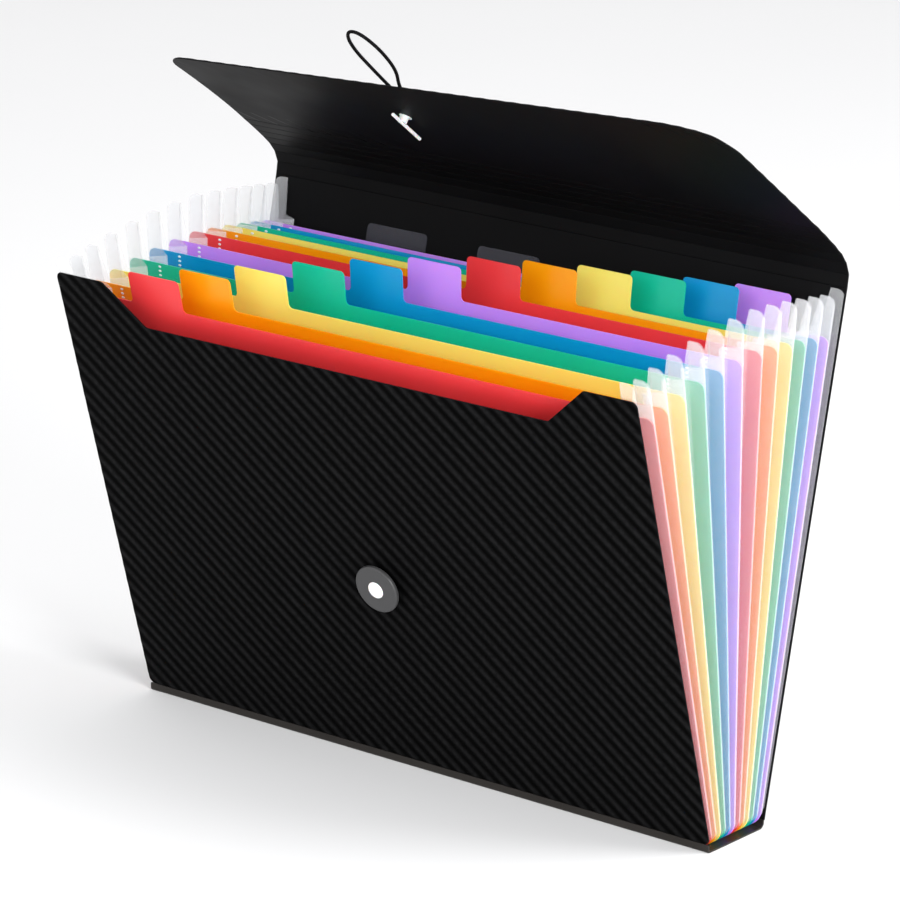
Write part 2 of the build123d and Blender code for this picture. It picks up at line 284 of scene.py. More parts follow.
@dataclass(frozen=True)
class EmbossedPolypropylene:
    """Extruded black polypropylene rolled with diagonal ribs: satin crests. The colour paints a highlight
    on the crests and paints shade, dead black, in the grooves.
    """

    name: str = "polypropylene_black_embossed"
    # Painted light: crest is the painted highlight colour of the rib tops, groove the painted shade colour
    # of the rib hollows
    crest: str = "#181819"
    groove: str = "#000000"
    crest_power: float = 1.5
    # Random mottling of the painted crest highlight, driven by the grain noise
    highlight_mottle: tuple[float, float] = (0.55, 1.15)
    grain_mm: float = 2.0
    grain_depth_mm: float = 0.05
    grain_strength: float = 0.25
    roughness: tuple[float, float] = (0.75, 0.45)
    specular: float = 0.03

    def build(self) -> bpy.types.Material:
        """Material whose colour and gloss follow the rib height stored on the mesh; the colour is a painted
        highlight on the crests and painted shade in the grooves.
        """
        material, tree, output = new_tree(self.name)
        rib = add_node(tree, "ShaderNodeAttribute", attribute_name="rib")
        place = add_node(tree, "ShaderNodeTexCoord")
        grain = add_node(
            tree,
            "ShaderNodeTexNoise",
            {"Vector": place.outputs["Object"], "Scale": per_mm(self.grain_mm), "Detail": 3.0},
        )
        level = add_node(
            tree, "ShaderNodeMath", {0: rib.outputs["Fac"], 1: self.crest_power}, operation="POWER"
        )
        mottled_highlight = add_node(tree, "ShaderNodeMapRange", noise_range(grain, self.highlight_mottle))
        share = add_node(
            tree, "ShaderNodeMath", {0: level.outputs[0], 1: mottled_highlight.outputs[0]}, operation="MULTIPLY"
        )
        # Painted highlight and shade: the colour runs from the groove's black to the crest's grey with the
        # rib height
        colour = add_node(
            tree,
            "ShaderNodeMix",
            {0: share.outputs[0], 6: linear(self.groove), 7: linear(self.crest)},
            data_type="RGBA",
        )
        gloss = add_node(
            tree,
            "ShaderNodeMapRange",
            {0: share.outputs[0], 1: 0.0, 2: 1.0, 3: self.roughness[0], 4: self.roughness[1]},
        )
        bump = add_node(
            tree,
            "ShaderNodeBump",
            {
                "Strength": self.grain_strength,
                "Distance": self.grain_depth_mm * MM,
                "Height": grain.outputs[0],
            },
        )
        shader = add_node(
            tree,
            "ShaderNodeBsdfPrincipled",
            {
                "Base Color": colour.outputs[2],
                "Roughness": gloss.outputs[0],
                "Specular IOR Level": self.specular,
                "Normal": bump.outputs[0],
            },
        )
        tree.links.new(shader.outputs[0], output.inputs[0])
        return material


@dataclass(frozen=True)
class MouldedPlastic:
    """Smooth plastic, extruded or moulded: an even colour, a little cloudy, with a fine orange peel."""

    name: str
    colour: str
    shade: str
    cloud_mm: float = 40.0
    peel_mm: float = 1.2
    peel_depth_mm: float = 0.02
    peel_strength: float = 0.3
    roughness: tuple[float, float] = (0.3, 0.4)
    specular: float = 0.4
    ior: float = 1.49
    alpha: float = 1.0
    subsurface: float = 0.0
    glow_mm: float = 1.0

    def build(self) -> bpy.types.Material:
        """Material with cloudy colour, uneven gloss and orange peel."""
        material, tree, output = new_tree(self.name)
        place = add_node(tree, "ShaderNodeTexCoord")
        cloud = add_node(
            tree,
            "ShaderNodeTexNoise",
            {"Vector": place.outputs["Object"], "Scale": per_mm(self.cloud_mm), "Detail": 2.0},
        )
        peel = add_node(
            tree,
            "ShaderNodeTexNoise",
            {"Vector": place.outputs["Object"], "Scale": per_mm(self.peel_mm), "Detail": 2.0},
        )
        shades = {0: cloud.outputs[0], 6: linear(self.shade), 7: linear(self.colour)}
        colour = add_node(tree, "ShaderNodeMix", shades, data_type="RGBA")
        gloss = add_node(tree, "ShaderNodeMapRange", noise_range(cloud, self.roughness))
        bump = add_node(
            tree,
            "ShaderNodeBump",
            {
                "Strength": self.peel_strength,
                "Distance": self.peel_depth_mm * MM,
                "Height": peel.outputs[0],
            },
        )
        shader = add_node(
            tree,
            "ShaderNodeBsdfPrincipled",
            {
                "Base Color": colour.outputs[2],
                "Roughness": gloss.outputs[0],
                "Specular IOR Level": self.specular,
                "IOR": self.ior,
                "Alpha": self.alpha,
                "Subsurface Weight": self.subsurface,
                "Subsurface Scale": self.glow_mm * MM,
                "Normal": bump.outputs[0],
            },
        )
        tree.links.new(shader.outputs[0], output.inputs[0])
        return material


@dataclass(frozen=True)
class BraidedElastic:
    """Rubber core in a fine polyester braid: matt black with a slanting thread pattern."""

    name: str = "elastic_braided_black"
    colour: str = "#040404"
    thread: str = "#101011"
    thread_mm: float = 0.7
    thread_depth_mm: float = 0.1
    thread_strength: float = 0.6
    roughness: float = 0.75
    specular: float = 0.06

    def build(self) -> bpy.types.Material:
        """Material with slanting threads in colour and bump."""
        material, tree, output = new_tree(self.name)
        place = add_node(tree, "ShaderNodeTexCoord")
        threads = add_node(
            tree,
            "ShaderNodeTexWave",
            {
                "Vector": place.outputs["Object"],
                "Scale": per_mm(self.thread_mm) / (2 * math.pi),
                "Distortion": 1.0,
            },
            bands_direction="DIAGONAL",
        )
        shades = {0: threads.outputs["Fac"], 6: linear(self.colour), 7: linear(self.thread)}
        colour = add_node(tree, "ShaderNodeMix", shades, data_type="RGBA")
        bump = add_node(
            tree,
            "ShaderNodeBump",
            {
                "Strength": self.thread_strength,
                "Distance": self.thread_depth_mm * MM,
                "Height": threads.outputs["Fac"],
            },
        )
        shader = add_node(
            tree,
            "ShaderNodeBsdfPrincipled",
            {
                "Base Color": colour.outputs[2],
                "Roughness": self.roughness,
                "Specular IOR Level": self.specular,
                "Normal": bump.outputs[0],
            },
        )
        tree.links.new(shader.outputs[0], output.inputs[0])
        return material


# Smooth inner face of the black sheet: dark, with a broad soft sheen
SATIN = MouldedPlastic(
    "polypropylene_black_satin", "#161617", "#0f0f10", peel_mm=0.8, roughness=(0.38, 0.5), specular=0.03
)
# Folded edge of the base: painted lighter, brownish grey, as a painted reflection of the bright floor on
# the fold, and with more specular than the sheet above it
BASE_SATIN_PAINTED_REFLECTION = MouldedPlastic(
    "polypropylene_black_folded", "#2e2b28", "#24211f", peel_mm=0.8, roughness=(0.3, 0.4), specular=0.2
)
# Cast film with a frosted skin: the colours behind show through, a little milky
FILM = MouldedPlastic(
    "polypropylene_frosted_film",
    "#f8f9fb",
    "#eef0f4",
    cloud_mm=25.0,
    roughness=(0.4, 0.55),
    specular=0.3,
    alpha=0.2,
)
# Grey tinted sheet: dark, and the cover behind it shows through
SMOKE = MouldedPlastic(
    "polypropylene_smoke", "#4b4b55", "#3b3b44", roughness=(0.25, 0.35), specular=0.4, alpha=0.55
)
# Injection-moulded discs: even dark grey with a satin rim
BUTTON_GREY = MouldedPlastic("polypropylene_grey_moulded", "#434344", "#3b3b3c", roughness=(0.34, 0.44))
# Injection-moulded nylon: bright white, faintly translucent
RIVET_WHITE = MouldedPlastic(
    "nylon_white_moulded", "#f8f8f8", "#f0f0f0", roughness=(0.28, 0.36), subsurface=0.3, glow_mm=0.6
)

# Colour and shade of each tinted divider
DIVIDER_COLOURS: dict[str, tuple[str, str]] = {
    "red": ("#e83c40", "#de383c"),
    "orange": ("#ffa204", "#f89a02"),
    "yellow": ("#fdea74", "#f8e068"),
    "green": ("#02c3a2", "#02b899"),
    "blue": ("#069cd8", "#0594ce"),
    "purple": ("#cf94f8", "#c68cf2"),
}


def tinted_sheet(name: str) -> MouldedPlastic:
    """Extruded tinted sheet: a clear strong colour that lights a little from behind.

    Args:
        name: the divider's colour.

    Returns:
        Its finish.
    """
    colour, shade = DIVIDER_COLOURS[name]
    return MouldedPlastic(f"polypropylene_{name}", colour, shade, roughness=(0.28, 0.38), subsurface=0.5)


# Mesh helpers


def rounded(points: Sequence[Point], radii: Sequence[float], step: float = 12.0) -> list[Point]:
    """Outline with its corners rounded.

    Args:
        points: corners in order.
        radii: a radius or 0 for each corner.
        step: degrees between points on an arc.

    Returns:
        The outline's points.
    """
    found: list[Point] = []
    for k, (corner, radius) in enumerate(zip(points, radii)):
        here = Vector(corner)
        if radius <= 0:
            found.append(tuple(here))
            continue
        to_before = (Vector(points[k - 1]) - here).normalized()
        to_after = (Vector(points[(k + 1) % len(points)]) - here).normalized()
        half = to_before.angle(to_after) / 2
        centre = here + (to_before + to_after).normalized() * radius / math.sin(half)
        start = here + to_before * radius / math.tan(half) - centre
        end = here + to_after * radius / math.tan(half) - centre
        turn = start.angle_signed(end)
        count = max(2, round(abs(math.degrees(turn)) / step))
        for n in range(count + 1):
            angle = -turn * n / count
            cos, sin = math.cos(angle), math.sin(angle)
            x = centre.x + start.x * cos - start.y * sin
            found.append((x, centre.y + start.x * sin + start.y * cos))
    return found


def new_piece(
    name: str,
    verts: Sequence[Vector],
    faces: Sequence[Sequence[int]],
    materials: Sequence[bpy.types.Material],
) -> bpy.types.Object:
    """Smooth-shaded mesh object.

    Args:
        name: the piece's name.
        verts: points in metres.
        faces: corner numbers of each face.
        materials: its materials in slot order.

    Returns:
        The object, linked to the scene.
    """
    mesh = bpy.data.meshes.new(name)
    mesh.from_pydata([tuple(v) for v in verts], [], faces)
    mesh.polygons.foreach_set("use_smooth", [True] * len(mesh.polygons))
    for material in materials:
        mesh.materials.append(material)
    mesh.update()
    piece = bpy.data.objects.new(name, mesh)
    bpy.context.scene.collection.objects.link(piece)
    return piece


def mark_sharp(mesh: bpy.types.Mesh, pairs: set[tuple[int, int]]) -> None:
    """Mark edges as sharp for shading.

    Args:
        mesh: the mesh.
        pairs: vertex pairs, lower number first.
    """
    sharp = mesh.attributes.new("sharp_edge", "BOOLEAN", "EDGE")
    for edge in mesh.edges:
        low, high = sorted(edge.vertices)
        sharp.data[edge.index].value = (low, high) in pairs


def drill(piece: bpy.types.Object, centre: Vector, axis: Vector, radius: float) -> None:
    """Cut a round hole through a piece.

    Args:
        piece: the piece to cut.
        centre: a point on the hole's axis, in metres.
        axis: the hole's direction.
        radius: in millimetres.
    """
    cutter_mesh = bpy.data.meshes.new("drill")
    shape = bmesh.new()
    turn = axis.to_track_quat("Z", "Y").to_matrix().to_4x4()
    bmesh.ops.create_cone(
        shape,
        cap_ends=True,
        segments=DRILL_SIDES,
        radius1=radius * MM,
        radius2=radius * MM,
        depth=DRILL_DEPTH * MM,
        matrix=Matrix.Translation(centre) @ turn,
    )
    shape.to_mesh(cutter_mesh)
    shape.free()
    cutter = bpy.data.objects.new("drill", cutter_mesh)
    bpy.context.scene.collection.objects.link(cutter)
    cut = piece.modifiers.new("hole", "BOOLEAN")
    cut.object = cutter
    cut.operation = "DIFFERENCE"
    cut.solver = "EXACT"
    graph = bpy.context.evaluated_depsgraph_get()
    drilled = bpy.data.meshes.new_from_object(piece.evaluated_get(graph))
    piece.modifiers.clear()
    old = piece.data
    piece.data = drilled
    name = old.name
    bpy.data.meshes.remove(old)
    drilled.name = name
    bpy.data.objects.remove(cutter)
    bpy.data.meshes.remove(cutter_mesh)


def around(x: float, s: float, reach: float) -> list[tuple[Point, Point]]:
    """Cut lines of a square round a hole, as a point and a normal each, so that the hole disturbs no more.

    Args:
        x: the hole's place across the sheet.
        s: its distance up the sheet.
        reach: half the square's side.

    Returns:
        The four lines.
    """
    across = [((x + side * reach, s), (1.0, 0.0)) for side in (-1, 1)]
    along = [((x, s + side * reach), (0.0, 1.0)) for side in (-1, 1)]
    return across + along


def film_solid(
    name: str, columns: Sequence[Sequence[Vector]], thickness: float, material: bpy.types.Material
) -> bpy.types.Object:
    """Thin closed film over a grid of points.

    Args:
        name: the piece's name.
        columns: equally long columns of points in metres, foot to top.
        thickness: in millimetres.
        material: the film's material.

    Returns:
        The film as an object.
    """
    wide, high = len(columns), len(columns[0])
    half = thickness * MM / 2
    near, far = [], []
    for i in range(wide):
        for j in range(high):
            across = columns[min(i + 1, wide - 1)][j] - columns[max(i - 1, 0)][j]
            along = columns[i][min(j + 1, high - 1)] - columns[i][max(j - 1, 0)]
            normal = across.cross(along).normalized()
            near.append(columns[i][j] + normal * half)
            far.append(columns[i][j] - normal * half)
    back = wide * high
    faces, sharp = [], set()
    for i in range(wide - 1):
        for j in range(high - 1):
            a, b, c, d = i * high + j, (i + 1) * high + j, (i + 1) * high + j + 1, i * high + j + 1
            faces.append((a, b, c, d))
            faces.append((back + d, back + c, back + b, back + a))
    rim = [i * high for i in range(wide)]
    rim += [(wide - 1) * high + j for j in range(1, high)]
    rim += [i * high + high - 1 for i in range(wide - 2, -1, -1)]
    rim += range(high - 2, 0, -1)
    for a, b in zip(rim, rim[1:] + rim[:1]):
        faces.append((b, a, back + a, back + b))
        sharp |= {tuple(sorted((a, b))), tuple(sorted((back + a, back + b)))}
    piece = new_piece(name, near + far, faces, [material])
    mark_sharp(piece.data, sharp)
    return piece


@dataclass(frozen=True)
class Ribs:
    """Diagonal ribs rolled into the outer face of the cover sheet."""

    pitch: float = 6.1
    angle: float = 46.0
    height: float = 0.16
    steps: int = 8

    def share(self, x: float, s: float) -> float:
        """Height of the ribs at a point of the sheet, from 0 in a groove to 1 on a crest."""
        angle = math.radians(self.angle)
        along = (x * math.cos(angle) + s * math.sin(angle)) / self.pitch
        return 0.5 + 0.5 * math.cos(2 * math.pi * along)

    def lines(self, outline: Sequence[Point]) -> list[tuple[Point, Point]]:
        """Lines along the ribs that cross an outline, as a point and a normal each."""
        angle = math.radians(self.angle)
        normal = (math.cos(angle), math.sin(angle))
        reach = [x * normal[0] + s * normal[1] for x, s in outline]
        step = self.pitch / self.steps
        first, last = math.ceil(min(reach) / step), math.floor(max(reach) / step)
        return [((normal[0] * k * step, normal[1] * k * step), normal) for k in range(first, last + 1)]


RIBS = Ribs()
# Softening of the cover sheets' cut edges
EDGE = 0.22


@dataclass(frozen=True)
class CoverSheet:
    """Black sheet, ribbed on its outer face and satin on its inner one.

    Its outline is in x and distance up the sheet; bend gives how far a point stands off the flat sheet.
    """

    name: str
    outline: Sequence[Point]
    stand: Stand
    outer: Face
    rib_start: float = 0.0
    bend: Callable[[float, float], float] | None = None
    cut_lines: Sequence[tuple[Point, Point]] = ()

    def build(self, embossed: bpy.types.Material, satin: bpy.types.Material) -> bpy.types.Object:
        """Closed mesh of the sheet.

        Args:
            embossed: material of the outer face.
            satin: material of the inner face and the edges.

        Returns:
            The sheet as an object.
        """
        flat = bmesh.new()
        flat.faces.new([flat.verts.new((x, s, 0.0)) for x, s in self.outline])
        shifted = [(x, s + self.rib_start) for x, s in self.outline]
        cuts = [((x, s - self.rib_start), normal) for (x, s), normal in RIBS.lines(shifted)]
        for (x, s), normal in [*cuts, *self.cut_lines]:
            everything = [*flat.verts, *flat.edges, *flat.faces]
            bmesh.ops.bisect_plane(
                flat,
                geom=everything,
                dist=CUT_TOLERANCE,
                plane_co=(x, s, 0.0),
                plane_no=(normal[0], normal[1], 0.0),
            )
        flat.normal_update()
        for face in flat.faces:
            if face.normal.z < 0:
                face.normal_flip()
        flat.verts.index_update()
        piece = self._solid(flat, embossed, satin)
        flat.free()
        return piece

    def _solid(
        self, flat: bmesh.types.BMesh, embossed: bpy.types.Material, satin: bpy.types.Material
    ) -> bpy.types.Object:
        """Give the flat sheet its thickness, ribs and softened edges.

        Args:
            flat: the sheet's faces in the plane, all facing up.
            embossed: material of the outer face.
            satin: material of the inner face and the edges.

        Returns:
            The sheet as an object.
        """
        side = self.outer.value
        half = SIZES.sheet / 2
        inset: dict[int, Vector] = {}
        rim: list[tuple[int, int]] = []
        for face in flat.faces:
            for loop in face.loops:
                if len(loop.edge.link_faces) == 1:
                    a, b = loop.vert, loop.link_loop_next.vert
                    run = (b.co - a.co).normalized()
                    inward = Vector((-run.y, run.x))
                    rim.append((a.index, b.index))
                    for v in (a, b):
                        inset[v.index] = inset.get(v.index, Vector((0, 0))) + inward
        verts: list[Vector] = []
        heights: list[float] = []
        count = len(flat.verts)
        rim_order = {index: 2 * count + 2 * k for k, index in enumerate(inset)}
        rows: dict[int, tuple[Vector, Vector]] = {}
        for v in flat.verts:
            x, s = v.co.x, v.co.y
            lift = self.bend(x, s) if self.bend else 0.0
            share = RIBS.share(x, s + self.rib_start)
            move = inset[v.index].normalized() * EDGE if v.index in inset else Vector((0, 0))
            crest = side * (half + RIBS.height * (share - 0.5))
            rows[v.index] = (
                self.stand.at(x + move.x, s + move.y, crest + lift),
                self.stand.at(x + move.x, s + move.y, -side * half + lift),
            )
            heights.append(share)
        verts += [rows[k][0] for k in range(count)]
        verts += [rows[k][1] for k in range(count)]
        heights += [0.0] * count
        flat.verts.ensure_lookup_table()
        for index in inset:
            v = flat.verts[index].co
            lift = self.bend(v.x, v.y) if self.bend else 0.0
            verts.append(self.stand.at(v.x, v.y, side * (half - EDGE) + lift))
            verts.append(self.stand.at(v.x, v.y, -side * (half - EDGE) + lift))
            heights += [0.0, 0.0]
        faces: list[list[int]] = []
        slots: list[int] = []
        for face in flat.faces:
            ring = [v.index for v in face.verts]
            outer_ring = ring if side < 0 else ring[::-1]
            faces.append(outer_ring)
            faces.append([count + k for k in outer_ring[::-1]])
            slots += [0, 1]
        sharp: set[tuple[int, int]] = set()
        for a, b in rim:
            if side > 0:
                a, b = b, a
            wall_a, wall_b = rim_order[a], rim_order[b]
            faces.append([b, a, wall_a, wall_b])
            faces.append([wall_b, wall_a, wall_a + 1, wall_b + 1])
            faces.append([wall_b + 1, wall_a + 1, count + a, count + b])
            slots += [1, 1, 1]
            for pair in ((a, b), (wall_a, wall_b), (wall_a + 1, wall_b + 1), (count + a, count + b)):
                sharp.add(tuple(sorted(pair)))
        piece = new_piece(self.name, verts, faces, [embossed, satin])
        piece.data.polygons.foreach_set("material_index", slots)
        # Rib height at each point, from which the embossed material paints highlight on the crests and
        # shade in the grooves
        rib = piece.data.attributes.new("rib", "FLOAT", "POINT")
        rib.data.foreach_set("value", heights)
        mark_sharp(piece.data, sharp)
        return piece


# Pieces of the folder


@dataclass
class Covers:
    """Front cover, base, back cover and the scored band above it."""

    embossed: bpy.types.Material
    satin: bpy.types.Material
    folded: bpy.types.Material
    hole_clear: float = 8.0

    def build(self) -> None:
        """Make and place every black panel but the flap."""
        self._front()
        self._back()
        self._band()
        for node in ("base_floor", "front_fold", "rear_fold"):
            dress(frame["nodes"][node], self.folded)

    def _front(self) -> None:
        """Notched front cover with the rivet's hole."""
        s = SIZES
        side, notch, floor = s.width / 2, s.width / 2 - s.shoulder, s.front_height - s.notch_depth
        points = [
            (-side, 0.0), (side, 0.0), (side, s.front_height), (notch, s.front_height),
            (notch - s.notch_run, floor), (s.notch_run - notch, floor), (-notch, s.front_height),
            (-side, s.front_height),
        ]
        outline = rounded(points, [s.cover_corner] * len(points))
        stand = FAN.stand(0)
        hole = around(0.0, s.button_height, self.hole_clear)
        sheet = CoverSheet("front_cover_embossed", outline, stand, Face.FRONT, cut_lines=hole)
        cover = sheet.build(self.embossed, self.satin)
        axis = stand.at(0, 0, 1) - stand.at(0, 0, 0)
        drill(cover, stand.at(0, s.button_height), axis.normalized(), s.rivet_hole)
        settle(cover, "front", "black_sheet", "front_cover")

    def _back(self) -> None:
        """Back cover up to the first score line."""
        s = SIZES
        side = s.width / 2
        outline = [(-side, 0.0), (side, 0.0), (side, s.back_height), (-side, s.back_height)]
        cover = CoverSheet("back_cover_embossed", outline, FAN.stand(s.pockets), Face.REAR)
        settle(cover.build(self.embossed, self.satin), "back", "black_sheet", "back_cover")

    def _band(self) -> None:
        """Strips between the score lines."""
        s = SIZES
        side = s.width / 2
        outline = [(-side, 0.0), (side, 0.0), (side, s.strip), (-side, s.strip)]
        for index in range(len(s.bends) - 1):
            start = s.back_height + index * s.strip
            strip = CoverSheet(
                f"score_band_{index + 1}", outline, FAN.strip_stand(index), Face.REAR, rib_start=start
            )
            piece = strip.build(self.embossed, self.satin)
            settle(piece, f"strip_{index + 1}", "black_sheet", f"score_strip_{index + 1}")


@dataclass
class ClosingFlap:
    """Tapered flap, a little twisted, with its eyelet, toggle and elastic loop."""

    embossed: bpy.types.Material
    satin: bpy.types.Material
    nylon: bpy.types.Material
    elastic: bpy.types.Material
    twist: float = 6.5
    twist_power: float = 1.5
    curl: float = 6.0
    curl_width: float = 50.0
    bend_step: float = 11.0
    hole_clear: float = 3.4

    def lift(self, x: float, s: float) -> float:
        """How far the flap stands off its flat plane, towards its outer face.

        Args:
            x: place across the flap.
            s: distance from the last score line.

        Returns:
            The distance in millimetres.
        """
        reach = max(0.0, s / SIZES.flap_length)
        side = SIZES.width / 2
        corner = max(0.0, (x - side + self.curl_width) / self.curl_width)
        twist = self.twist * (x / side) * reach ** self.twist_power
        return twist - self.curl * corner ** 2 * reach ** 2

    def build(self) -> None:
        """Make the flap and dress what is on it."""
        s = SIZES
        side, tip = s.width / 2, s.width / 2 - s.flap_taper
        points = [(-side, 0.0), (side, 0.0), (tip, s.flap_length), (-tip, s.flap_length)]
        outline = rounded(points, [0, 0, s.flap_corner, s.flap_corner], step=6.0)
        wide, high = (math.ceil(length / self.bend_step) for length in (side, s.flap_length))
        across = [((k * self.bend_step, 0.0), (1.0, 0.0)) for k in range(1 - wide, wide)]
        along = [((0.0, k * self.bend_step), (0.0, 1.0)) for k in range(1, high)]
        start = s.back_height + (len(s.bends) - 1) * s.strip
        stand = FAN.strip_stand(len(s.bends) - 1)
        sheet = CoverSheet(
            "closing_flap_embossed",
            outline,
            stand,
            Face.REAR,
            start,
            self.lift,
            [*across, *along, *around(s.eyelet_x, s.eyelet_s, self.hole_clear)],
        )
        flap = sheet.build(self.embossed, self.satin)
        axis = (stand.at(0, 0, 1) - stand.at(0, 0, 0)).normalized()
        drill(flap, stand.at(s.eyelet_x, s.eyelet_s), axis, s.eyelet_hole)
        settle(flap, "flap", "black_sheet", "flap")
        for node in ("flap_eyelet", "loop_toggle"):
            dress(frame["nodes"][node], self.nylon)
        self._loop(stand)

    def _loop(self, stand: Stand) -> None:
        """Elastic cord out of the crimp, through the eyelet, round the loop and back.

        Args:
            stand: where the flap stands.
        """
        points = [stand.at(x, s, SIZES.sheet / 2 + lift) for x, s, lift in LOOP_ROUTE]
        line = bpy.data.curves.new("elastic_loop_cord", "CURVE")
        line.dimensions = "3D"
        line.bevel_depth = SIZES.cord_radius * MM
        line.bevel_resolution = 4
        line.resolution_u = 8
        line.use_fill_caps = True
        spline = line.splines.new("NURBS")
        spline.points.add(len(points) - 1)
        for point, place in zip(spline.points, points):
            point.co = (*place, 1.0)
        spline.order_u = 3
        spline.use_endpoint_u = True
        line.materials.append(self.elastic)
        cord = bpy.data.objects.new("elastic_loop_cord", line)
        bpy.context.scene.collection.objects.link(cord)
        settle(cord, "flap", "black_elastic", "elastic_loop")


# The loop's route on the flap: x, distance from the last score line, height off the outer face
LOOP_ROUTE = (
    (-38.7, 43.0, -3.2), (-38.7, 43.6, 3.4), (-37.4, 49.8, 2.9), (-33.4, 60.0, 2.2),
    (-31.8, 74.0, 1.8), (-31.8, 88.0, 2.4), (-32.2, 98.0, 3.2), (-31.0, 108.0, 4.4),
    (-26.5, 115.0, 5.2), (-20.5, 114.8, 5.2), (-16.2, 105.5, 4.2), (-15.4, 94.0, 3.0),
    (-18.2, 83.0, 2.4), (-23.6, 73.0, 1.8), (-29.4, 60.0, 2.2), (-35.6, 50.2, 2.9),
    (-36.9, 43.6, 3.4), (-36.9, 43.0, -3.2),
)


@dataclass
class Dividers:
    """Coloured sheets with their tabs, and the weld dots that hold the gussets to them."""

    sheets: dict[str, bpy.types.Material]
    weld: bpy.types.Material
    weld_x: float = 145.5
    dot_pitch: float = 2.1
    dot_size: tuple[float, float] = (2.0, 1.2)
    dot_height: float = 0.12
    dot_margin: float = 1.6
    dot_corners: int = 8
    dot_taper: float = 0.7

    def build(self) -> None:
        """Dress every divider and add its weld dots."""
        for place in range(1, SIZES.pockets):
            node = frame["record"]["behaviour"]["bodies"][FAN.body(place)][0]
            colour = node.split("_")[-1]
            dress(frame["nodes"][node], self.sheets[colour])
            self._welds(place)

    def _welds(self, place: int) -> None:
        """Rows of flat pressed dots down both ends of a divider's front face.

        Args:
            place: the divider's place in the fan.
        """
        stand = FAN.stand(place)
        face = -SIZES.leaf / 2
        verts, faces = [], []
        top = FAN.sheet_top(place) - self.dot_margin
        rows = int((top - self.dot_margin) / self.dot_pitch)
        wide, high = self.dot_size
        count = self.dot_corners
        angles = [2 * math.pi * k / count for k in range(count)]
        ring = [(math.cos(a), math.sin(a)) for a in angles]
        for side in Side:
            for row in range(rows + 1):
                x = side.value * self.weld_x
                s = top - row * self.dot_pitch
                first = len(verts)
                for grow, off in ((1.0, face), (self.dot_taper, face - self.dot_height)):
                    for cos, sin in ring:
                        verts.append(stand.at(x + grow * cos * wide / 2, s + grow * sin * high / 2, off))
                foot, crown = range(first, first + count), range(first + count, first + 2 * count)
                for k in range(count):
                    n = (k + 1) % count
                    faces.append((foot[k], foot[n], crown[n], crown[k]))
                faces.append(tuple(crown))
                faces.append(tuple(reversed(foot)))
        piece = new_piece(f"weld_dots_{place}", verts, faces, [self.weld])
        settle(piece, FAN.body(place), "frosted_film")


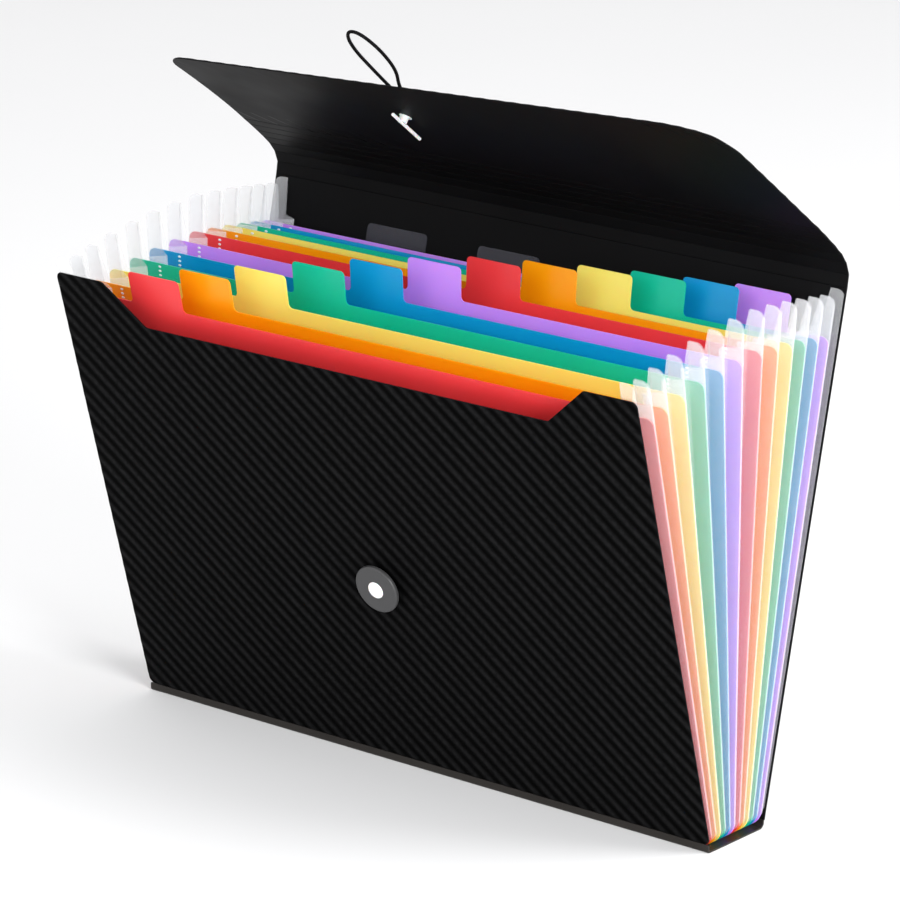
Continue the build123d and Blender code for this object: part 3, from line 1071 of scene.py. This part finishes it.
@dataclass
class Gusset:
    """Pleated frosted film at one end: flanges folded round every sheet's edge, and leaves between them."""

    side: Side
    film: bpy.types.Material
    valley_drop: float = 17.0
    ear_corner: float = 4.5
    foot: float = 1.2
    foot_corner: float = 8.0
    rows: int = 10
    flat_shares: tuple[float, ...] = (0, 0.25, 0.5, 0.7, 0.85, 1)
    wrap_degrees: tuple[float, ...] = (-60, -30, 0, 30, 60)
    leaf_shares: tuple[float, ...] = (0.25, 0.6, 1)

    def build(self) -> None:
        """Make every flange and leaf of this gusset."""
        name = self.side.name.lower()
        first = None
        for place in range(SIZES.pockets + 1):
            flange = self._flange(place, f"{name}_flange_{place}")
            settle(flange, FAN.body(place), "frosted_film")
            first = first or flange
        for place in range(SIZES.pockets):
            self._pleat(place, name)
        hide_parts(f"{name}_gusset")

    def _off(self, place: int) -> float:
        """Film's middle plane off the middle plane of the sheet at this place."""
        return FAN.half_thickness(place) + SIZES.flange_gap + SIZES.film / 2

    def _column(self, place: int, x: float, off: float, drop: float = 0.0) -> list[Vector]:
        """Points up the film, with the ear's and the foot's round corners.

        Args:
            place: the sheet's place in the fan.
            x: distance from the folder's middle.
            off: distance behind the sheet's middle plane.
            drop: distance of its top edge under the ear's.

        Returns:
            Points from foot to top.
        """
        ends = [FAN.sheet_top(place) + SIZES.ear - drop, self.foot]
        for k, (radius, turn) in enumerate(((self.ear_corner, -1), (self.foot_corner, 1))):
            past = max(0.0, x - (SIZES.width / 2 - radius))
            ends[k] += turn * (radius - math.sqrt(max(0.0, radius ** 2 - past ** 2)))
        high, low = ends
        steps = [k / self.rows for k in range(self.rows + 1)]
        stand = FAN.stand(place)
        return [stand.at(self.side.value * x, low + (high - low) * t, off) for t in steps]

    def _flange(self, place: int, name: str) -> bpy.types.Object:
        """Film lying on a sheet's edge, wrapped round it, or on the inner face of a cover.

        Args:
            place: the sheet's place in the fan.
            name: the piece's name.

        Returns:
            The flange.
        """
        off = self._off(place)
        weld, outer = SIZES.width / 2 - SIZES.flange, SIZES.width / 2 - SIZES.film / 2
        flat = [weld + (outer - off - weld) * t for t in self.flat_shares]
        path: list[Point] = []
        if place > 0:
            path += [(x, -off) for x in flat]
        if 0 < place < SIZES.pockets:
            turn = [math.radians(a) for a in self.wrap_degrees]
            path += [(outer - off + off * math.cos(a), off * math.sin(a)) for a in turn]
        if place < SIZES.pockets:
            path += [(x, off) for x in reversed(flat)]
        columns = [self._column(place, x, y) for x, y in path]
        return film_solid(name, columns, SIZES.film, self.film)

    def _pleat(self, place: int, name: str) -> None:
        """The two leaves of a pocket's pleat, which fold in to meet between its sheets.

        Args:
            place: the pocket, by the sheet in front of it.
            name: the gusset's name.
        """
        edge = SIZES.width / 2
        weld, valley = edge - SIZES.flange, edge - SIZES.pleat_depth
        front_off, rear_off = self._off(place), -self._off(place + 1)
        front_edge = self._column(place, weld, front_off)
        rear_edge = self._column(place + 1, weld, rear_off)
        front_low = self._column(place, weld, front_off, self.valley_drop)
        rear_low = self._column(place + 1, weld, rear_off, self.valley_drop)
        front_fold = self._column(place, valley, front_off, self.valley_drop)
        rear_fold = self._column(place + 1, valley, rear_off, self.valley_drop)
        inner = [(a + b) / 2 for a, b in zip(front_fold, rear_fold)]
        leans = FAN.lean(place), FAN.lean(place + 1)
        for half, (ends, under) in enumerate(((front_edge, front_low), (rear_edge, rear_low))):
            columns = [ends] + [[a.lerp(b, t) for a, b in zip(under, inner)] for t in self.leaf_shares]
            if half:
                columns.reverse()
            piece = film_solid(f"{name}_pleat_{place + 1}_{'ab'[half]}", columns, SIZES.film, self.film)
            self._follow(piece)

    def _follow(self, piece: bpy.types.Object) -> None:
        """Bake the leaf's placement into its mesh.

        Args:
            piece: the leaf.
        """
        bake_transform(piece)


def dress(node: bpy.types.Object, material: bpy.types.Material) -> None:
    """Give a solid of the frame its material.

    Args:
        node: the solid's object.
        material: its material.
    """
    node.data.materials.clear()
    node.data.materials.append(material)
    for polygon in node.data.polygons:
        polygon.material_index = 0
    log.info("dressed %s in %s", node.name, material.name)


def settle(piece: bpy.types.Object, body: str, slot: str, *nodes: str) -> None:
    """Let a piece ride on its body and stand for its solids.

    Args:
        piece: the piece.
        body: the body that carries it.
        slot: the record's material slot; not used.
        nodes: the solids that it replaces.
    """
    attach(piece, body)
    if nodes:
        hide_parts(*nodes)
    log.info("made %s on %s", piece.name, body)


@dataclass(frozen=True)
class Studio:
    """White floor, white surroundings, soft lamps and the camera."""

    focal_px: float = 4708.2
    image_px: float = 900.0
    azimuth: float = 38.65
    elevation: float = 16.40
    roll: float = 0.84
    shift_mm: tuple[float, float] = (-2.0, -141.2)
    distance_mm: float = 2171.7
    sensor_mm: float = 36.0
    clip_range: tuple[float, float] = (0.05, 50.0)
    floor_reach: float = 6.0
    daylight: float = 0.85
    clear_layers: int = 48

    def build(self) -> None:
        """Make floor, world, lamps and camera."""
        self._floor()
        self._world()
        self._lamps()
        self._camera()
        scene = bpy.context.scene
        scene.view_settings.view_transform = "Standard"
        scene.cycles.transparent_max_bounces = self.clear_layers

    def _floor(self) -> None:
        """Large pale floor."""
        finish = MouldedPlastic(
            "studio_paper", "#f4f4f5", "#f2f2f3", cloud_mm=300.0, roughness=(0.8, 0.9), specular=0.1
        )
        signs = ((-1, -1), (1, -1), (1, 1), (-1, 1))
        corners = [Vector((x, y, 0.0)) * self.floor_reach for x, y in signs]
        floor = new_piece("studio_floor", corners, [(0, 1, 2, 3)], [finish.build()])

    def _world(self) -> None:
        """White to the eye and in reflections, softer as a light."""
        world = bpy.data.worlds.new("studio")
        bpy.context.scene.world = world
        world.use_nodes = True
        tree = world.node_tree
        tree.nodes.clear()
        output = add_node(tree, "ShaderNodeOutputWorld")
        path = add_node(tree, "ShaderNodeLightPath")
        seen = add_node(
            tree,
            "ShaderNodeMath",
            {0: path.outputs["Is Camera Ray"], 1: path.outputs["Is Glossy Ray"]},
            operation="MAXIMUM",
        )
        seen = add_node(
            tree,
            "ShaderNodeMath",
            {0: seen.outputs[0], 1: path.outputs["Is Transmission Ray"]},
            operation="MAXIMUM",
        )
        strength = add_node(tree, "ShaderNodeMapRange", {0: seen.outputs[0], 3: self.daylight, 4: 1.0})
        light = add_node(
            tree, "ShaderNodeBackground", {"Color": (1.0, 1.0, 1.0, 1.0), "Strength": strength.outputs[0]}
        )
        tree.links.new(light.outputs[0], output.inputs[0])

    def _lamps(self) -> None:
        """Large key behind and above on the right, a side lamp on the pleats and a low fill in front."""
        for name, place, aim, size, watts in (
            ("key", (1.3, 0.6, 1.5), (0.0, 0.0, 0.1), 1.0, 18.0),
            ("side", (1.8, -0.75, 0.75), (0.1, 0.0, 0.12), 0.8, 36.0),
            ("fill", (-0.7, -1.6, 1.2), (0.0, 0.0, 0.15), 1.2, 5.0),
        ):
            lamp = bpy.data.lights.new(name, "AREA")
            lamp.energy = watts
            lamp.size = size
            piece = bpy.data.objects.new(name, lamp)
            piece.location = place
            piece.rotation_euler = (Vector(aim) - Vector(place)).to_track_quat("-Z", "Y").to_euler()
            bpy.context.scene.collection.objects.link(piece)

    def _camera(self) -> None:
        """Camera where the picture was taken from."""
        az, el, roll = (math.radians(a) for a in (self.azimuth, self.elevation, self.roll))
        back = Vector((math.sin(az) * math.cos(el), -math.cos(az) * math.cos(el), math.sin(el)))
        right = Vector((math.cos(az), math.sin(az), 0.0))
        up = back.cross(right)
        rolled_right = right * math.cos(roll) + up * math.sin(roll)
        rolled_up = up * math.cos(roll) - right * math.sin(roll)
        turn = Matrix((rolled_right, rolled_up, back)).transposed()
        place = turn @ Vector((-self.shift_mm[0], -self.shift_mm[1], self.distance_mm)) * MM
        lens = bpy.data.cameras.new("camera")
        lens.sensor_width = self.sensor_mm
        lens.lens = self.focal_px / self.image_px * self.sensor_mm
        lens.clip_start, lens.clip_end = self.clip_range
        camera = bpy.data.objects.new("camera", lens)
        camera.matrix_world = Matrix.Translation(place) @ turn.to_4x4()
        bpy.context.scene.collection.objects.link(camera)
        bpy.context.scene.camera = camera


def dress_button(grey: bpy.types.Material, white: bpy.types.Material) -> None:
    """Finish the button, its rivet and its washer.

    Args:
        grey: material of the button and the washer.
        white: material of the rivet.
    """
    dress(frame["nodes"]["closure_button"], grey)
    dress(frame["nodes"]["rivet_washer"], grey)
    dress(frame["nodes"]["button_rivet"], white)


def main() -> None:
    """Build the folder piece by piece."""
    logging.basicConfig(level=logging.INFO, format="%(name)s: %(message)s")
    Studio().build()
    embossed = EmbossedPolypropylene().build()
    satin, film, nylon = SATIN.build(), FILM.build(), RIVET_WHITE.build()
    elastic = BraidedElastic().build()
    ClosingFlap(embossed, satin, nylon, elastic).build()
    Covers(embossed, satin, BASE_SATIN_PAINTED_REFLECTION.build()).build()
    sheets = {name: tinted_sheet(name).build() for name in DIVIDER_COLOURS}
    Dividers(sheets, nylon).build()
    dress(frame["nodes"]["rear_sheet"], SMOKE.build())
    for side in Side:
        Gusset(side, film).build()
    dress_button(BUTTON_GREY.build(), nylon)


if __name__ == "__main__":
    main()
